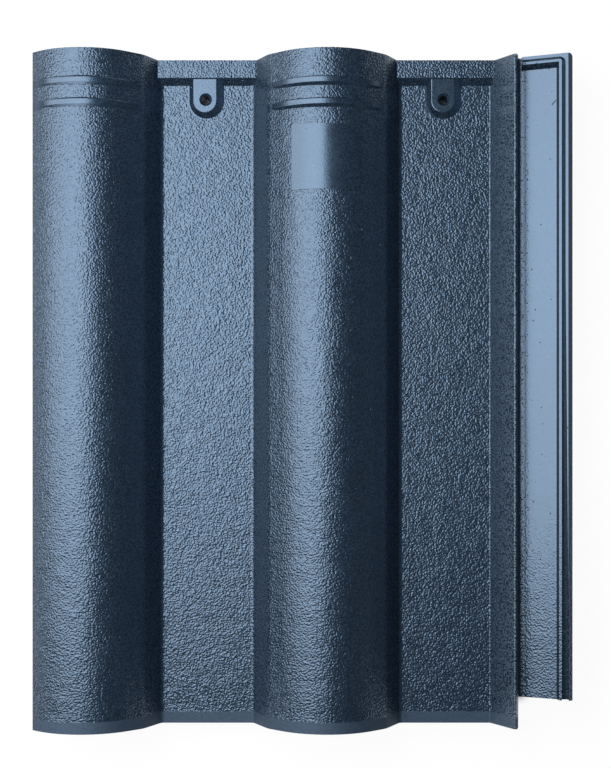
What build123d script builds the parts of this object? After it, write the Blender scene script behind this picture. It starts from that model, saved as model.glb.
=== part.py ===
from build123d import *
from math import cos, radians, sin, tan
import os

# All sizes are in millimetres. X runs across the tile towards the underlap,
# Y runs up the roof towards the head and Z is up. Heights of the section are
# measured from the top of the pans and are lifted at the end.

# plan
tile_length = 424.0
tile_width = 338.3
side_lap = 33.1
body_thickness = 10.5

# how far an added form starts inside the body
root = 1.0

# rolls
roll_height = 37.0
roll_radius = 42.0
shoulder_angle = 41.0
shoulder_reach = 37.2
shoulder_fillet = 12.0
flank_angle = 57.0
cover_roll_inset = 31.75
foot_fillet = 3.0
hollow_fillet = 8.0

# upstand rib beside the second pan, and the gap to the next tile's edge
lap_gap = 0.35
rib_height = 22.1
rib_angle = 58.7
rib_top_width = 2.2
rib_top_fall = 5.2
rib_back_draft = 0.5
rib_edge_fillet = 1.0
rib_foot_fillet = 1.2

# water channel and underlap strip
channel_floor_z = 8.4
channel_width = 2.7
strip_angle = 22.5
strip_under_angle = 25.0
strip_foot_radius = 11.0
strip_nose_gap = 18.25
strip_edge_thickness = 9.4

# double rim of the underlap strip, along its side and round its head, in plan
rim_height = 3.7
rim_outer_slope = 3.05
side_ridge_width = 1.6
side_groove_width = 2.2
side_inner_ridge_width = 1.6
side_inner_slope = 0.9
outer_ridge_full_length = 137.0
outer_ridge_nose_inset = 2.3
head_ridge_width = 2.0
head_groove_width = 1.5
head_inner_ridge_width = 1.5
head_inner_slope = 3.0
groove_depth = 4.0
groove_outer_corner = 3.8
groove_inner_corner = 1.0
rim_outer_corner = 2.2

# lip and bead under the cover roll
lip_clearance = 2.4
lip_draft = 0.5
lip_head_gap = 10.0
lip_head_width = 8.0
lip_head_clearance = 3.6
bead_width = 2.6
bead_reach = 5.0
bead_gap = 1.2

# raised strip across the head of each pan
head_strip_height = 4.0
head_strip_top = 11.2
head_strip_slope = 4.3

# nail bosses, round at their lower end
boss_foot_width = 22.3
boss_top_width = 14.7
boss_foot_reach = 36.5
boss_top_reach = 33.0
boss_height = 3.3
boss_edge_fillet = 0.8
boss_foot_shift = -0.55
boss_top_shift = -1.5
nail_shift = -1.05
nail_distance = 25.0
nail_hole_diameter = 5.5
nail_mouth_diameter = 8.2

# beads across the crowns
bead_positions = (17.4, 30.9)
crown_bead_steep_run = 1.0
crown_bead_flat = 3.0
crown_bead_slope_run = 2.05
middle_bead_height = 1.7
middle_bead_lift = 1.5
middle_bead_half_angle = 80.0
cover_bead_height = 0.8
cover_bead_lift = 2.2
cover_bead_half_angle = 46.0

# short beads on the rib's flank, in line with those over the crowns
rib_bead_radius = 4.0
rib_bead_height = 0.5
rib_bead_up = 11.6
rib_bead_shift = 1.9
rib_bead_width = 1.6

# plain panel on the middle roll
panel_start = 46.6
panel_length = 40.8
panel_half_width = 21.2
panel_shift = -1.0
panel_height = 0.4

# nibs and bars under the pans
foot_drop = 10.0
nib_width = 44.0
nib_from_head = 3.0
nib_length = 13.0
foot_draft = 8.0
nose_bar_from_nose = 12.0
nose_bar_length = 9.0
foot_side_gap = 4.0

# derived positions
left_edge = -tile_width / 2
right_edge = tile_width / 2
cover_width = tile_width - side_lap
roll_pitch = cover_width / 2
cover_crown = left_edge + cover_roll_inset
middle_crown = cover_crown + roll_pitch
crown_centre_z = roll_height - roll_radius
tangent_x = roll_radius * sin(radians(flank_angle))
tangent_z = crown_centre_z + roll_radius * cos(radians(flank_angle))
roll_foot = tangent_x + tangent_z / tan(radians(flank_angle))
hollow_radius = roll_radius - body_thickness
hollow_tangent_x = hollow_radius * sin(radians(flank_angle))
hollow_tangent_z = crown_centre_z + hollow_radius * cos(radians(flank_angle))
hollow_foot = hollow_tangent_x + (hollow_tangent_z + body_thickness) / tan(radians(flank_angle))
next_left_edge = left_edge + cover_width
shoulder_slope = tan(radians(shoulder_angle))
shoulder_start_z = crown_centre_z + roll_radius / cos(radians(shoulder_angle))
shoulder_z = shoulder_start_z - shoulder_reach * shoulder_slope
left_edge_z = shoulder_start_z - cover_roll_inset * shoulder_slope
lip_bottom_z = channel_floor_z + lip_clearance
rib_back = next_left_edge - lap_gap
rib_tip = rib_back - rib_top_width
rib_foot = rib_tip - rib_height / tan(radians(rib_angle))
channel_start = rib_back + rib_back_draft
strip_start = channel_start + channel_width
strip_width = right_edge - strip_start
strip_rise = tan(radians(strip_angle))
strip_run = cos(radians(strip_angle))
strip_edge_z = channel_floor_z + strip_width * strip_rise
side_ridge_end = rim_outer_slope + side_ridge_width
side_groove_end = side_ridge_end + side_groove_width
side_rim_end = side_groove_end + side_inner_ridge_width
head_groove_end = head_ridge_width + head_groove_width
head_rim_end = head_groove_end + head_inner_ridge_width
under_edge_z = strip_edge_z - strip_edge_thickness
under_bend = right_edge - (under_edge_z + body_thickness) / tan(radians(strip_under_angle))
first_pan = (cover_crown + roll_foot, middle_crown - roll_foot)
second_pan = (middle_crown + roll_foot, rib_foot)
pans = (first_pan, second_pan)
lift = body_thickness + foot_drop


def run(profile, start, stop):
    """A cross-section drawn out between two distances from the nose."""
    plane = Plane(origin=(0, start - tile_length / 2, 0), x_dir=(1, 0, 0), z_dir=(0, -1, 0))
    return extrude(plane * profile, amount=start - stop)


def polygon(points):
    return make_face(Polyline(*points, close=True))


def over_strip(inset, up):
    """Point of the section, so far in from the strip's edge and so far up from its surface."""
    return (right_edge - inset, strip_edge_z - inset * strip_rise + up)


def arc_point(centre_x, radius, angle):
    """Point on a circle about a roll's axis, the angle counted from straight up."""
    return (
        centre_x + radius * sin(radians(angle)),
        crown_centre_z + radius * cos(radians(angle)),
    )


def nearest(vertices, x, z):
    return min(vertices, key=lambda v: (v.X - x) ** 2 + (v.Y - z) ** 2)


def roll(centre_x):
    """Area of a roll: steep feet and straight shoulders tangent to a round crown."""
    left = arc_point(centre_x, roll_radius, -shoulder_angle)
    top = arc_point(centre_x, roll_radius, 0)
    right = arc_point(centre_x, roll_radius, shoulder_angle)
    left_bend = (centre_x - shoulder_reach, shoulder_z)
    right_bend = (centre_x + shoulder_reach, shoulder_z)
    outline = [
        Line((centre_x - roll_foot, 0), left_bend),
        Line(left_bend, left),
        ThreePointArc(left, top, right),
        Line(right, right_bend),
        Line(right_bend, (centre_x + roll_foot, 0)),
        Line((centre_x + roll_foot, 0), (centre_x - roll_foot, 0)),
    ]
    return make_face(Curve() + outline)


def hollow(centre_x):
    """Area of the hollow under a roll: straight flanks tangent to a round crown."""
    left = arc_point(centre_x, hollow_radius, -flank_angle)
    top = arc_point(centre_x, hollow_radius, 0)
    right = arc_point(centre_x, hollow_radius, flank_angle)
    left_foot = (centre_x - hollow_foot, -body_thickness)
    right_foot = (centre_x + hollow_foot, -body_thickness)
    outline = [
        Line(left_foot, left),
        ThreePointArc(left, top, right),
        Line(right, right_foot),
        Line(right_foot, left_foot),
    ]
    return make_face(Curve() + outline)


def tile_section():
    slab = polygon([
        (cover_crown, -body_thickness),
        (under_bend, -body_thickness),
        (right_edge, under_edge_z),
        (right_edge, strip_edge_z),
        over_strip(rim_outer_slope, rim_height),
        over_strip(strip_width, rim_height),
        (strip_start, channel_floor_z),
        (channel_start, channel_floor_z),
        (rib_back, rib_height - rib_top_fall),
        (rib_tip, rib_height),
        (rib_foot, 0),
        (cover_crown, 0),
    ])
    section = slab
    for crown in (cover_crown, middle_crown):
        section += roll(crown)
    for crown in (cover_crown, middle_crown):
        section -= hollow(crown)
    beyond = polygon([
        (left_edge - roll_pitch, -2 * body_thickness),
        (cover_crown - hollow_radius / 2, -2 * body_thickness),
        (cover_crown - hollow_radius / 2, lip_bottom_z),
        (left_edge + lip_draft, lip_bottom_z),
        (left_edge, left_edge_z),
        (left_edge, 2 * roll_height),
        (left_edge - roll_pitch, 2 * roll_height),
    ])
    section -= beyond
    face = section.faces()[0]
    for crown, sides in ((cover_crown, (1,)), (middle_crown, (-1, 1))):
        for side in sides:
            corner = nearest(face.vertices(), crown + side * roll_foot, 0)
            face = fillet(corner, foot_fillet).faces()[0]
            corner = nearest(face.vertices(), crown + side * shoulder_reach, shoulder_z)
            face = fillet(corner, shoulder_fillet).faces()[0]
            corner = nearest(face.vertices(), crown + side * hollow_foot, -body_thickness)
            face = fillet(corner, hollow_fillet).faces()[0]
    corner = nearest(face.vertices(), rib_foot, 0)
    face = fillet(corner, rib_foot_fillet).faces()[0]
    for x, z in ((rib_tip, rib_height), (rib_back, rib_height - rib_top_fall)):
        face = fillet(nearest(face.vertices(), x, z), rib_edge_fillet).faces()[0]
    corner = nearest(face.vertices(), under_bend, -body_thickness)
    return fillet(corner, hollow_fillet).faces()[0]


def cover_bead():
    """Bead under the cover roll that drops beside the next tile's double rim."""
    tip_right = right_edge - side_rim_end - bead_gap - cover_width
    tip_z = crown_centre_z + hollow_radius - bead_reach
    top_z = crown_centre_z + hollow_radius + bead_width / 2
    return polygon([
        (tip_right - bead_width, tip_z),
        (tip_right, tip_z),
        (tip_right + bead_width / 2, top_z),
        (tip_right - 1.5 * bead_width, top_z),
    ])


def basin():
    """Space over the strip's flat, with sloping sides towards the edge and the head."""
    section = polygon([
        over_strip(strip_width, 0),
        over_strip(side_rim_end + side_inner_slope, 0),
        over_strip(side_rim_end - side_inner_slope, 2 * rim_height),
        over_strip(strip_width, 2 * rim_height),
    ])
    across = Plane(
        origin=(right_edge, 0, strip_edge_z),
        x_dir=(0, 1, 0),
        z_dir=(-strip_run, 0, -sin(radians(strip_angle))),
    )
    head = tile_length / 2 - head_rim_end
    top = 2 * rim_height * strip_run
    end = polygon([
        (-tile_length, 0),
        (head - head_inner_slope, 0),
        (head + head_inner_slope, -top),
        (-tile_length, -top),
    ])
    return run(section, 0, tile_length) & extrude(across * end, amount=2 * strip_width)


def strip_foot():
    """Hollow curve between the channel's floor and the strip."""
    half_turn = radians(strip_angle) / 2
    reach = strip_foot_radius * tan(half_turn)
    floor_end = (strip_start - reach, channel_floor_z)
    slope_end = over_strip(strip_width - reach * strip_run, 0)
    middle = (
        floor_end[0] + strip_foot_radius * sin(half_turn),
        channel_floor_z + strip_foot_radius * (1 - cos(half_turn)),
    )
    outline = [
        ThreePointArc(floor_end, middle, slope_end),
        Line(slope_end, (slope_end[0], channel_floor_z - root)),
        Line((slope_end[0], channel_floor_z - root), (floor_end[0], channel_floor_z - root)),
        Line((floor_end[0], channel_floor_z - root), floor_end),
    ]
    return make_face(Curve() + outline)


def rim_groove():
    """Groove between the two ridges, with a level floor along the side, wider towards the nose."""
    head = tile_length / 2
    start = strip_start - channel_width / 3
    outer = polygon([
        (start, -head - head_ridge_width),
        (right_edge - outer_ridge_nose_inset, -head - head_ridge_width),
        (right_edge - side_ridge_end, head - outer_ridge_full_length),
        (right_edge - side_ridge_end, head - head_ridge_width),
        (start, head - head_ridge_width),
    ])
    outer = fillet(nearest(outer.vertices(), right_edge, head), groove_outer_corner)
    inner = polygon([
        (start - side_groove_width, -head - 2 * head_ridge_width),
        (right_edge - side_groove_end, -head - 2 * head_ridge_width),
        (right_edge - side_groove_end, head - head_groove_end),
        (start - side_groove_width, head - head_groove_end),
    ])
    inner = fillet(nearest(inner.vertices(), right_edge, head), groove_inner_corner)
    floor = Plane(
        origin=(right_edge, 0, strip_edge_z + rim_height - groove_depth),
        x_dir=(strip_run, 0, sin(radians(strip_angle))),
        z_dir=(-sin(radians(strip_angle)), 0, strip_run),
    )
    above = extrude(floor * Rectangle(2 * tile_width, 2 * tile_length), amount=roll_height)
    side_floor_z = over_strip(side_groove_end, rim_height - groove_depth)[1]
    above += run(polygon([
        (right_edge - side_groove_end - root, side_floor_z),
        (right_edge - outer_ridge_nose_inset / 2, side_floor_z),
        over_strip(outer_ridge_nose_inset / 2, root),
        over_strip(side_groove_end + root, root),
    ]), 0, tile_length)
    return extrude(outer - inner, amount=2 * roll_height) & above


def foot(middle, start, width, length):
    """Nib or bar under a pan, from one place along the tile to another, with drafted sides."""
    draft = foot_drop * tan(radians(foot_draft))
    section = Plane.YZ.offset(middle - width / 2) * polygon([
        (start, root - body_thickness),
        (start, -body_thickness),
        (start + draft, -body_thickness - foot_drop),
        (start + length - draft, -body_thickness - foot_drop),
        (start + length, -body_thickness),
        (start + length, root - body_thickness),
    ])
    return extrude(section, amount=width)


def tongue(centre_x, width, reach, z):
    """Level face that runs down from the head and ends in a half circle."""
    half = width / 2
    head = tile_length / 2 - head_strip_top / 2
    end = tile_length / 2 - reach
    outline = [
        Line((centre_x + half, head), (centre_x - half, head)),
        Line((centre_x - half, head), (centre_x - half, end + half)),
        ThreePointArc((centre_x - half, end + half), (centre_x, end), (centre_x + half, end + half)),
        Line((centre_x + half, end + half), (centre_x + half, head)),
    ]
    return Pos(0, 0, z) * make_face(Curve() + outline)


def boss(middle):
    """Raised seat of a nail hole, with sloping sides that start below the pan's surface."""
    share = 1 + root / boss_height
    base = tongue(
        middle + boss_top_shift + (boss_foot_shift - boss_top_shift) * share,
        boss_top_width + (boss_foot_width - boss_top_width) * share,
        boss_top_reach + (boss_foot_reach - boss_top_reach) * share,
        -root,
    )
    top = tongue(middle + boss_top_shift, boss_top_width, boss_top_reach, boss_height)
    solid = loft([base, top], ruled=True)
    top_edges = solid.edges().filter_by_position(Axis.Z, boss_height, boss_height)
    head_edge = top_edges.sort_by(Axis.Y)[-1]
    return fillet([edge for edge in top_edges if edge != head_edge], boss_edge_fillet)


def crown_bead(crown, start, height, lift_up, half_angle):
    """Low bead over a crown, steep towards the head, fading out on the flanks."""
    head = tile_length / 2 - start
    radius = roll_radius + height - lift_up
    sunk = radius - 2 * height
    centre_z = crown_centre_z + lift_up
    steep = crown_bead_steep_run
    slope = crown_bead_slope_run
    outline = [
        (head + steep, centre_z + sunk),
        (head - steep, centre_z + radius),
        (head - steep - crown_bead_flat, centre_z + radius),
        (head - steep - crown_bead_flat - 2 * slope, centre_z + sunk),
    ]
    section = Plane.YZ.offset(crown) * polygon(outline)
    axis = Axis((crown, 0, centre_z), (0, 1, 0))
    return revolve(section, axis, half_angle) + revolve(section, axis, -half_angle)


def rib_bead(start):
    """Short bead that stands a little out of the rib's flank."""
    sunk = rib_bead_radius - rib_bead_height
    middle = (
        rib_foot + rib_bead_up / tan(radians(rib_angle)) + sunk * sin(radians(rib_angle)),
        rib_bead_up - sunk * cos(radians(rib_angle)),
    )
    from_nose = tile_length - start - rib_bead_shift
    return run(Pos(*middle) * Circle(rib_bead_radius), from_nose - rib_bead_width, from_nose)


body = run(tile_section(), 0, tile_length)
body -= basin()
body -= rim_groove()
body += run(strip_foot(), 0, tile_length)
body += run(cover_bead(), 0, tile_length)
lip_notch = Box(2 * lip_head_width, 2 * lip_head_gap, 2 * lip_head_clearance)
body -= Pos(left_edge, tile_length / 2, lip_bottom_z) * lip_notch

for start, stop in pans:
    middle = (start + stop) / 2
    head_strip = Plane.YZ.offset(start - foot_fillet) * polygon([
        (tile_length / 2, -root),
        (tile_length / 2, head_strip_height),
        (tile_length / 2 - head_strip_top, head_strip_height),
        (tile_length / 2 - head_strip_top - head_strip_slope, 0),
        (tile_length / 2 - head_strip_top - head_strip_slope, -root),
    ])
    body += extrude(head_strip, amount=stop - start + 2 * foot_fillet)
    body += boss(middle)
    body += foot(middle, tile_length / 2 - nib_from_head - nib_length, nib_width, nib_length)
    bar_width = stop - start - 2 * foot_side_gap
    body += foot(middle, nose_bar_from_nose - tile_length / 2, bar_width, nose_bar_length)

crown_beads = (
    (middle_crown, middle_bead_height, middle_bead_lift, middle_bead_half_angle),
    (cover_crown, cover_bead_height, cover_bead_lift, cover_bead_half_angle),
)
for start in bead_positions:
    for crown, height, lift_up, half_angle in crown_beads:
        body += crown_bead(crown, start, height, lift_up, half_angle)
    body += rib_bead(start)

panel = Pos(middle_crown, crown_centre_z) * Circle(roll_radius + panel_height)
panel_side = Rectangle(2 * panel_half_width, 2 * roll_height)
panel &= Pos(middle_crown + panel_shift, roll_height / 2) * panel_side
panel -= Pos(middle_crown, crown_centre_z) * Circle(roll_radius - root)
panel &= Pos(middle_crown, roll_height) * Rectangle(4 * panel_half_width, roll_height)
body += run(panel, tile_length - panel_start - panel_length, tile_length - panel_start)

trim_length = 2 * strip_nose_gap
trim = Box(roll_pitch, trim_length, 4 * roll_height)
body -= Pos(channel_start + roll_pitch / 2, -tile_length / 2, 0) * trim
outline = Rectangle(tile_width, tile_length)
corner = max(outline.vertices(), key=lambda v: v.X + v.Y)
outline = fillet(corner, rim_outer_corner)
body &= Pos(0, 0, -2 * roll_height) * extrude(outline, amount=4 * roll_height)

for start, stop in pans:
    nail_x = (start + stop) / 2 + nail_shift
    nail_y = tile_length / 2 - nail_distance
    mouth_depth = (nail_mouth_diameter - nail_hole_diameter) / 2
    hole = Pos(nail_x, nail_y, 0) * Cylinder(nail_hole_diameter / 2, 4 * body_thickness)
    mouth = Pos(nail_x, nail_y, boss_height - mouth_depth / 2) * Cone(
        nail_hole_diameter / 2, nail_mouth_diameter / 2, mouth_depth
    )
    body -= hole
    body -= mouth

tile = Pos(0, 0, lift) * body.solids()[0]

os.makedirs("parts", exist_ok=True)
export_step(tile, "parts/roof_tile.step")
print("solids", len(body.solids()), "volume", round(tile.volume), "faces", len(tile.faces()))
print("box", tile.bounding_box())
print("nail x", [(start + stop) / 2 + nail_shift for start, stop in pans], "y", nail_y)
print("crowns", cover_crown, middle_crown, "pans", pans)
print("rib", rib_foot, rib_tip, rib_back, "strip", strip_start, strip_edge_z)
print("under bend", under_bend, under_edge_z)
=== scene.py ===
import math

import bpy
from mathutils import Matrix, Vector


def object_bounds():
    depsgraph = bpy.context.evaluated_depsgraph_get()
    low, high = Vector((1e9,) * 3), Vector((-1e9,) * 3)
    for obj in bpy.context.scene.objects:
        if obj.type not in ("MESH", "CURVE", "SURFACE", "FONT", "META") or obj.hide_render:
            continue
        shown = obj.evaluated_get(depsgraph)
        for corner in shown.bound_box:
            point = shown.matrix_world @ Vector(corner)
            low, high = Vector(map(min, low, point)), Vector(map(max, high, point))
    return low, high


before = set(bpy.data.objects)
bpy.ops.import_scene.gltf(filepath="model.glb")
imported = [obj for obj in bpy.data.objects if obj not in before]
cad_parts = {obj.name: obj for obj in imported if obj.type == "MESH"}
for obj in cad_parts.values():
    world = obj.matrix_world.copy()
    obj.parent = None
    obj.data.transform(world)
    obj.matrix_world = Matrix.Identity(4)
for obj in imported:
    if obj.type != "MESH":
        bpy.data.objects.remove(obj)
cad_low, cad_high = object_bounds()

TILE = "roof_tile"
MM = 0.001

# Places on the tile that the finish follows, in millimetres in the tile's own frame
PAN_TOP = 20.5
HEAD = cad_high.y / MM
NOSE = cad_low.y / MM
BOSS_MIDDLES = (-62.6, 89.55)
BOSS_HALF_WIDTH = 11.5
BOSS_END = HEAD - 37.0
HEAD_STRIP_EDGE = HEAD - 11.2
PANEL_X = (-7.1, 35.3)
PANEL_Y = (HEAD - 87.4, HEAD - 46.6)
BEADS_Y = ((HEAD - 23.3, HEAD - 17.8), (HEAD - 36.8, HEAD - 31.3))
BEADS_ABOVE = PAN_TOP + 8.0
BEADS_FADE = 2.0
NOSE_BAND = 7.0
# Over this span the rib's flank has a painted highlight on its grain peaks, rising to its top edge
RIB_HIGHLIGHT_SPAN = (119.0, 136.0)
STRIP_START = 136.0
STRIP_FADE = 1.0
STRIP_FOOT = 138.9
FOOT_PORES_START = 138.4
FOOT_PORES_END = 143.5
FOOT_PORES_FADE = 1.5
STRIP_GRAIN = (-170.0, -20.0)
SCRATCH_MIDDLE = (158.3, 182.3)
SCRATCH_TURN = 0.84
SCRATCH_HALF = (2.3, 0.35)
SCRATCH_CORE = 0.6

# How wide the edges of such places are: of flat ones, and of ones beside a step
SOFT_EDGE = 0.6
STEP_EDGE = 0.5

# Relief in millimetres
GRAIN_SPACING = 2.0
GRAIN_HEIGHT = 0.42
GRAIN_DISTORTION = 0.3
FINE_SPACING = 0.8
FINE_HEIGHT = 0.012
SWELL_SPACING = 16.0
SWELL_HEIGHT = 0.25
PORE_DEPTH = 0.6
SMOOTH_GRAIN_SHARE = 0.1
STRIP_NOSE_GRAIN_SHARE = 0.6

# Dots: their spacing and radius in millimetres, and the share of the scattered points that has one
FOOT_PORES = (1.6, 0.55, 0.5)
STRIP_PORES = (5.0, 0.55, 0.5)
COATING_PORES = (7.0, 0.45, 0.3)
SPECKS = (6.0, 0.35, 0.12)
CAST_PITS = (3.0, 0.6, 0.5)
DOT_CORE = 0.5

# Variation of colour and gloss: spacings in millimetres, and noise levels that count as low and high
NOISE_SCALE = 1.8
NOISE_LEVELS = (0.3, 0.7)
GRAIN_PEAKS = (0.4, 0.6)
MOTTLE_SPACING = 30.0
MOTTLE_SHARE = (0.65, 1.0)
GLOSS_SPACING = 12.0
CAST_SPACING = 4.0

# Coating and concrete
COATING_COLOUR = (0.013, 0.023, 0.039, 1.0)
# Darker coating: random darker tone, and painted shade in the grain's hollows and in pores
COATING_DARK_AND_SHADE = (0.004, 0.008, 0.014, 1.0)
# Paler colour painted on the grain peaks over the rib's flank: a painted highlight
COATING_PAINTED_HIGHLIGHT = (0.045, 0.06, 0.075, 1.0)
COATING_TINT = (0.51, 0.72, 1.0, 1.0)
COATING_IOR = 1.635
COATING_SHINE = 1.0
COATING_ROUGHNESS = (0.21, 0.31)
STEEP_ROUGHNESS = (0.2, 0.47)
DULL_ROUGHNESS = 0.7
RIB_BEADS_FROM = 0.1
CONCRETE_COLOUR = (0.36, 0.35, 0.32, 1.0)
CONCRETE_DARK = (0.24, 0.235, 0.22, 1.0)
CONCRETE_ROUGHNESS = 0.9

# Upward part of the surface's direction: bare to coated, and level to steep
COATED_FROM = (-0.3, -0.1)
STEEP_FROM = (0.68, 0.58)

# Light. The lamps lie level in one plane over the tile, each from one corner to the other, in metres
LAMP_HEIGHT = 0.82
FAR_LAMP = ((-6.0, -0.32), (-2.2, 0.95))
FAR_RADIANCE = 2.1
FAR_COLOUR = (1.0, 0.97, 0.93)
WIDE_LAMP = ((-2.2, -0.32), (-0.09, 0.95))
WIDE_RADIANCE = 3.75
WIDE_COLOUR = (1.0, 0.98, 0.96)
NEAR_LAMP = ((-0.46, -0.08), (-0.05, 0.55))
NEAR_RADIANCE = 6.8
NEAR_COLOUR = (0.85, 0.94, 1.0)
WORLD_COLOUR = (0.8, 0.9, 1.0, 1.0)
WORLD_STRENGTH = 0.12

# Floor, in metres. It glows white to the camera and in reflections, but not where the tile covers it
FLOOR_COLOUR = (0.9, 0.9, 0.9, 1.0)
FLOOR_GLOW_COLOUR = (1.0, 1.0, 1.0, 1.0)
FLOOR_GLOW_STRENGTH = 1.0
FLOOR_GLOW_SHARE = 0.95
FLOOR_COVERED = (0.15, 0.205)
FLOOR_COVERED_EDGE = 0.01
FLOOR_HALF = 15.0
FLOOR_DROP = 0.0002

# Photograph: 611 by 768 pixels, taken from straight above
PICTURE_HEIGHT = 768
MM_PER_PIXEL = 0.6415
CAMERA_ABOVE_PANS = 940.0
CAMERA_X = 1.35
CAMERA_Y = -22.6
BELOW_CAMERA_PIXELS_LEFT = 0.5
BELOW_CAMERA_PIXELS_DOWN = 43.5
SENSOR = 36.0


class Nodes:
    """Adds shader nodes to one tree and links them."""

    def __init__(self, tree):
        self.tree = tree
        tree.nodes.clear()

    def add(self, kind, **settings):
        node = self.tree.nodes.new(kind)
        for key, value in settings.items():
            setattr(node, key, value)
        return node

    def feed(self, socket, value):
        if isinstance(value, bpy.types.NodeSocket):
            self.tree.links.new(value, socket)
        else:
            socket.default_value = value

    def parts(self, vector):
        """The three numbers of a vector."""
        node = self.add("ShaderNodeSeparateXYZ")
        self.feed(node.inputs[0], vector)
        return node.outputs

    def math(self, operation, first, second=0.0):
        node = self.add("ShaderNodeMath", operation=operation)
        self.feed(node.inputs[0], first)
        self.feed(node.inputs[1], second)
        return node.outputs[0]

    def product(self, first, *others):
        for other in others:
            first = self.math("MULTIPLY", first, other)
        return first

    def total(self, first, *others):
        for other in others:
            first = self.math("ADD", first, other)
        return first

    def largest(self, first, *others):
        for other in others:
            first = self.math("MAXIMUM", first, other)
        return first

    def rise(self, value, low, high):
        """0 below low, 1 above high, smooth in between. Falls instead where low is more than high."""
        node = self.add("ShaderNodeMapRange", interpolation_type="SMOOTHSTEP")
        ends = (low, high, 0.0, 1.0) if low < high else (high, low, 1.0, 0.0)
        self.feed(node.inputs["Value"], value)
        for name, end in zip(("From Min", "From Max", "To Min", "To Max"), ends):
            node.inputs[name].default_value = end
        return node.outputs[0]

    def spread(self, value, low, high):
        """Maps 0..1 to low..high."""
        node = self.add("ShaderNodeMapRange")
        self.feed(node.inputs["Value"], value)
        node.inputs["To Min"].default_value = low
        node.inputs["To Max"].default_value = high
        return node.outputs[0]

    def within(self, value, low, high, soft):
        """1 from low to high, with soft edges inside."""
        return self.product(self.rise(value, low, low + soft), self.rise(value, high, high - soft))

    def noise(self, place, wavelength, detail=0.0, roughness=0.5, distortion=0.0):
        """Smooth noise, 0..1, whose spots are about a wavelength apart, in the units of place."""
        node = self.add("ShaderNodeTexNoise")
        self.feed(node.inputs["Vector"], place)
        node.inputs["Scale"].default_value = NOISE_SCALE / wavelength
        node.inputs["Detail"].default_value = detail
        node.inputs["Roughness"].default_value = roughness
        node.inputs["Distortion"].default_value = distortion
        return node.outputs["Fac"]

    def dots(self, place, spacing, radius, share):
        """1 in small round dots about scattered points, of which only a share has a dot."""
        node = self.add("ShaderNodeTexVoronoi")
        self.feed(node.inputs["Vector"], place)
        node.inputs["Scale"].default_value = 1.0 / spacing
        chance = self.add("ShaderNodeSeparateColor")
        self.feed(chance.inputs[0], node.outputs["Color"])
        near = self.rise(node.outputs["Distance"], radius / spacing, DOT_CORE * radius / spacing)
        return self.product(near, self.math("LESS_THAN", chance.outputs[0], share))

    def blend(self, share, first, second):
        """Mixes two colours."""
        node = self.add("ShaderNodeMix", data_type="RGBA")
        self.feed(node.inputs[0], share)
        self.feed(node.inputs[6], first)
        self.feed(node.inputs[7], second)
        return node.outputs[2]

    def mix(self, share, first, second):
        """Mixes two numbers."""
        node = self.add("ShaderNodeMix")
        self.feed(node.inputs[0], share)
        self.feed(node.inputs[2], first)
        self.feed(node.inputs[3], second)
        return node.outputs[0]


def boss_area(n, x, y):
    """1 on the two bosses below their head strips."""
    areas = []
    for middle in BOSS_MIDDLES:
        aside = n.math("ABSOLUTE", n.math("SUBTRACT", x, middle))
        past_end = n.largest(n.math("SUBTRACT", BOSS_END + BOSS_HALF_WIDTH, y), 0.0)
        away = n.math("SQRT", n.total(n.math("POWER", aside, 2.0), n.math("POWER", past_end, 2.0)))
        areas.append(n.rise(away, BOSS_HALF_WIDTH, BOSS_HALF_WIDTH - SOFT_EDGE))
    return n.product(n.largest(*areas), n.rise(y, HEAD_STRIP_EDGE, HEAD_STRIP_EDGE - STEP_EDGE))


def bead_area(n, y, z):
    """1 on the beads over the crowns and on the short ones in line with them."""
    rows = n.largest(*(n.within(y, low, high, STEP_EDGE) for low, high in BEADS_Y))
    return n.product(rows, n.rise(z, BEADS_ABOVE, BEADS_ABOVE + BEADS_FADE))


def painted_highlight_rise(n, x):
    """Rises over the rib's flank to 1 at its top edge, and is 0 elsewhere: where the painted highlight lies.
    """
    return n.product(n.rise(x, *RIB_HIGHLIGHT_SPAN), n.rise(x, STRIP_START, STRIP_START - STEP_EDGE))


def grain_share(n, x, y, beads, nose_band):
    """How much of the grain a place has. The strip, nose band, beads, bosses and panel have little."""
    panel = n.product(n.within(x, *PANEL_X, SOFT_EDGE), n.within(y, *PANEL_Y, SOFT_EDGE))
    plain = n.spread(n.largest(beads, nose_band, boss_area(n, x, y), panel), 1.0, SMOOTH_GRAIN_SHARE)
    strip = n.spread(n.rise(y, *STRIP_GRAIN), STRIP_NOSE_GRAIN_SHARE, SMOOTH_GRAIN_SHARE)
    return n.mix(n.rise(x, STRIP_START, STRIP_START + STRIP_FADE), plain, n.product(strip, plain))


def scratch(n, x, y):
    """A short scratch over the edge of the strip's rim."""
    right = n.math("SUBTRACT", x, SCRATCH_MIDDLE[0])
    up = n.math("SUBTRACT", y, SCRATCH_MIDDLE[1])
    cosine, sine = math.cos(SCRATCH_TURN), math.sin(SCRATCH_TURN)
    along = n.total(n.product(right, cosine), n.product(up, sine))
    across = n.math("SUBTRACT", n.product(up, cosine), n.product(right, sine))
    shares = []
    for away, half in zip((along, across), SCRATCH_HALF):
        shares.append(n.rise(n.math("ABSOLUTE", away), half, SCRATCH_CORE * half))
    return n.product(*shares)


def strip_marks(n, place, x, y):
    """Pores along the strip's foot, a few on the rest of the strip, and the scratch."""
    foot = n.within(x, FOOT_PORES_START, FOOT_PORES_END, FOOT_PORES_FADE)
    return n.largest(
        n.product(n.dots(place, *FOOT_PORES), foot),
        n.product(n.dots(place, *STRIP_PORES), n.rise(x, STRIP_FOOT, FOOT_PORES_END)),
        scratch(n, x, y),
    )


def relief(n, place, grain, marks):
    """Height of the coating in millimetres."""
    return n.total(
        n.product(grain, GRAIN_HEIGHT),
        n.product(n.noise(place, FINE_SPACING), FINE_HEIGHT),
        n.product(n.noise(place, SWELL_SPACING), SWELL_HEIGHT),
        n.product(marks, -PORE_DEPTH),
    )


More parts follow.
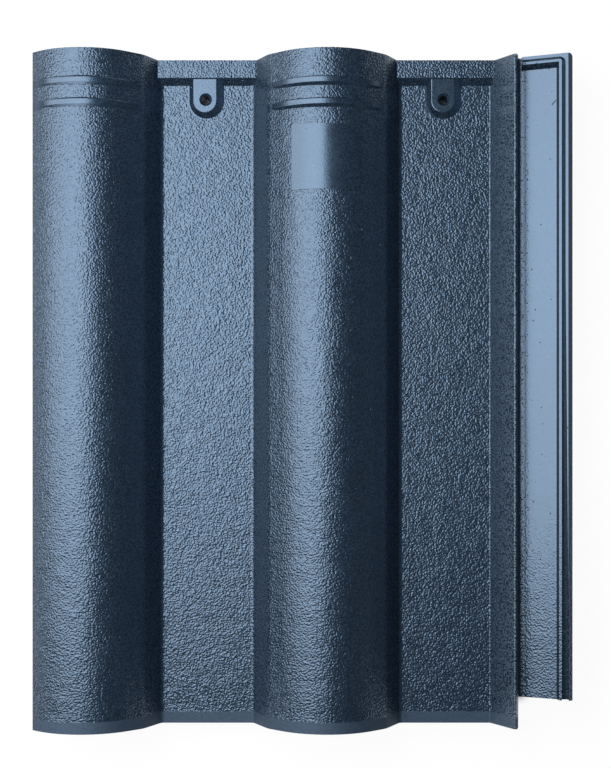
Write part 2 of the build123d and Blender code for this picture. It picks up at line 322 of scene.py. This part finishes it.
def coating_colour(n, place, grain, rib_highlight, pores, specks):
    """Mottled navy, with painted shade in the grain's hollows and in pores, a painted highlight on the grain
    peaks over the rib's flank, and concrete colour where it is chipped.
    """
    mottle = n.noise(place, MOTTLE_SPACING, detail=3.0, roughness=0.6)
    mottled = n.spread(n.rise(mottle, *NOISE_LEVELS), *MOTTLE_SHARE)
    # Random mottle, and painted shade where the grain is low
    tone_and_shade = n.product(mottled, n.rise(grain, *NOISE_LEVELS))
    colour = n.blend(tone_and_shade, COATING_DARK_AND_SHADE, COATING_COLOUR)
    # Painted highlight: paler on the grain peaks over the rib's flank, most at its top edge
    colour = n.blend(n.product(rib_highlight, n.rise(grain, *GRAIN_PEAKS)), colour, COATING_PAINTED_HIGHLIGHT)
    # Painted shade in the pores
    colour = n.blend(pores, colour, COATING_DARK_AND_SHADE)
    return n.blend(specks, colour, CONCRETE_COLOUR)


def coating_roughness(n, place, grain, steep, dull):
    """Satin, uneven with the grain on steep flanks, and dull in some places."""
    roughness = n.spread(n.noise(place, GLOSS_SPACING, detail=2.0), *COATING_ROUGHNESS)
    roughness = n.mix(steep, roughness, n.spread(n.rise(grain, *GRAIN_PEAKS), *STEEP_ROUGHNESS))
    return n.mix(dull, roughness, DULL_ROUGHNESS)


def concrete_colour(n, place):
    """Grey cast concrete, unevenly toned, with painted shade in its pits."""
    cast = n.noise(place, CAST_SPACING, detail=5.0, roughness=0.7)
    colour = n.blend(cast, CONCRETE_COLOUR, CONCRETE_DARK)
    # Painted shade in the pits
    return n.blend(n.dots(place, *CAST_PITS), colour, CONCRETE_DARK)


def tile_material():
    """Satin dark coating over cast concrete. The coating covers the weather face and the edges."""
    material = bpy.data.materials.new("coated_concrete")
    material.use_nodes = True
    n = Nodes(material.node_tree)

    scaled = n.add("ShaderNodeVectorMath", operation="SCALE")
    n.feed(scaled.inputs[0], n.add("ShaderNodeTexCoord").outputs["Object"])
    scaled.inputs["Scale"].default_value = 1.0 / MM
    place = scaled.outputs[0]
    x, y, z = n.parts(place)
    upward = n.parts(n.add("ShaderNodeNewGeometry").outputs["Normal"])[2]
    coated = n.rise(upward, *COATED_FROM)
    steep = n.rise(upward, *STEEP_FROM)

    nose_band = n.rise(y, NOSE + NOSE_BAND + SOFT_EDGE, NOSE + NOSE_BAND)
    beads = bead_area(n, y, z)
    rib_highlight = painted_highlight_rise(n, x)
    marks = strip_marks(n, place, x, y)
    pores = n.largest(marks, n.dots(place, *COATING_PORES))
    specks = n.dots(place, *SPECKS)
    rib_beads = n.product(beads, n.rise(rib_highlight, 0.0, RIB_BEADS_FROM))
    dull = n.largest(nose_band, pores, specks, rib_beads)

    grain = n.noise(place, GRAIN_SPACING, distortion=GRAIN_DISTORTION)
    bump = n.add("ShaderNodeBump")
    bump.inputs["Distance"].default_value = MM
    n.feed(bump.inputs["Strength"], n.largest(grain_share(n, x, y, beads, nose_band), marks))
    n.feed(bump.inputs["Height"], relief(n, place, grain, marks))

    colour = n.blend(coated, concrete_colour(n, place), coating_colour(n, place, grain, rib_highlight, pores, specks))
    roughness = n.mix(coated, CONCRETE_ROUGHNESS, coating_roughness(n, place, grain, steep, dull))
    shader = n.add("ShaderNodeBsdfPrincipled")
    n.feed(shader.inputs["Base Color"], colour)
    n.feed(shader.inputs["Roughness"], roughness)
    shader.inputs["IOR"].default_value = COATING_IOR
    shader.inputs["Specular IOR Level"].default_value = COATING_SHINE
    shader.inputs["Specular Tint"].default_value = COATING_TINT
    n.feed(shader.inputs["Normal"], bump.outputs[0])
    output = n.add("ShaderNodeOutputMaterial")
    n.feed(output.inputs["Surface"], shader.outputs[0])
    return material


def floor_material():
    """A pale floor that shows nearly white and keeps a soft shadow."""
    material = bpy.data.materials.new("pale_floor")
    material.use_nodes = True
    n = Nodes(material.node_tree)
    covered = []
    from_middle = n.parts(n.add("ShaderNodeTexCoord").outputs["Object"])
    for distance, half in zip(from_middle[:2], FLOOR_COVERED):
        covered.append(n.rise(n.math("ABSOLUTE", distance), half, half - FLOOR_COVERED_EDGE))
    bare = n.math("SUBTRACT", 1.0, n.product(*covered))
    rays = n.add("ShaderNodeLightPath")
    seen = n.largest(*(rays.outputs[f"Is {kind} Ray"] for kind in ("Camera", "Glossy", "Transmission")))
    plain = n.add("ShaderNodeBsdfDiffuse")
    plain.inputs["Color"].default_value = FLOOR_COLOUR
    glow = n.add("ShaderNodeEmission")
    glow.inputs["Color"].default_value = FLOOR_GLOW_COLOUR
    glow.inputs["Strength"].default_value = FLOOR_GLOW_STRENGTH
    both = n.add("ShaderNodeMixShader")
    n.feed(both.inputs[0], n.product(seen, bare, FLOOR_GLOW_SHARE))
    n.feed(both.inputs[1], plain.outputs[0])
    n.feed(both.inputs[2], glow.outputs[0])
    output = n.add("ShaderNodeOutputMaterial")
    n.feed(output.inputs["Surface"], both.outputs[0])
    return material


def lay_floor():
    half = FLOOR_HALF
    corners = [(sx * half, sy * half, -FLOOR_DROP) for sx, sy in ((-1, -1), (1, -1), (1, 1), (-1, 1))]
    mesh = bpy.data.meshes.new("floor")
    mesh.from_pydata(corners, [], [(0, 1, 2, 3)])
    floor = bpy.data.objects.new("floor", mesh)
    bpy.context.collection.objects.link(floor)
    mesh.materials.append(floor_material())


def hang_lamp(name, corners, radiance, colour):
    """A level soft lamp that fills the place between two corners."""
    (left, low), (right, high) = corners
    data = bpy.data.lights.new(name, "AREA")
    data.shape = "RECTANGLE"
    data.size = right - left
    data.size_y = high - low
    data.energy = radiance * math.pi * data.size * data.size_y
    data.color = colour
    lamp = bpy.data.objects.new(name, data)
    lamp.location = ((left + right) / 2, (low + high) / 2, LAMP_HEIGHT)
    lamp.visible_camera = False
    bpy.context.collection.objects.link(lamp)


def light_scene():
    """Three soft lamps at the left, and a dim even world."""
    hang_lamp("far_lamp", FAR_LAMP, FAR_RADIANCE, FAR_COLOUR)
    hang_lamp("wide_lamp", WIDE_LAMP, WIDE_RADIANCE, WIDE_COLOUR)
    hang_lamp("near_lamp", NEAR_LAMP, NEAR_RADIANCE, NEAR_COLOUR)
    world = bpy.data.worlds.new("studio")
    bpy.context.scene.world = world
    world.use_nodes = True
    n = Nodes(world.node_tree)
    background = n.add("ShaderNodeBackground")
    background.inputs["Color"].default_value = WORLD_COLOUR
    background.inputs["Strength"].default_value = WORLD_STRENGTH
    output = n.add("ShaderNodeOutputWorld")
    n.feed(output.inputs["Surface"], background.outputs[0])


def place_camera():
    """Looks straight down, shifted so that the photograph's frame is kept."""
    data = bpy.data.cameras.new("camera")
    data.sensor_width = SENSOR
    data.lens = CAMERA_ABOVE_PANS / MM_PER_PIXEL / PICTURE_HEIGHT * SENSOR
    data.shift_x = BELOW_CAMERA_PIXELS_LEFT / PICTURE_HEIGHT
    data.shift_y = BELOW_CAMERA_PIXELS_DOWN / PICTURE_HEIGHT
    camera = bpy.data.objects.new("camera", data)
    camera.location = (CAMERA_X * MM, CAMERA_Y * MM, (CAMERA_ABOVE_PANS + PAN_TOP) * MM)
    bpy.context.collection.objects.link(camera)
    bpy.context.scene.camera = camera


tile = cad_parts[TILE]
coated_concrete = tile_material()
for slot in tile.material_slots:
    slot.material = coated_concrete

lay_floor()
light_scene()
place_camera()
bpy.context.scene.view_settings.view_transform = "Standard"
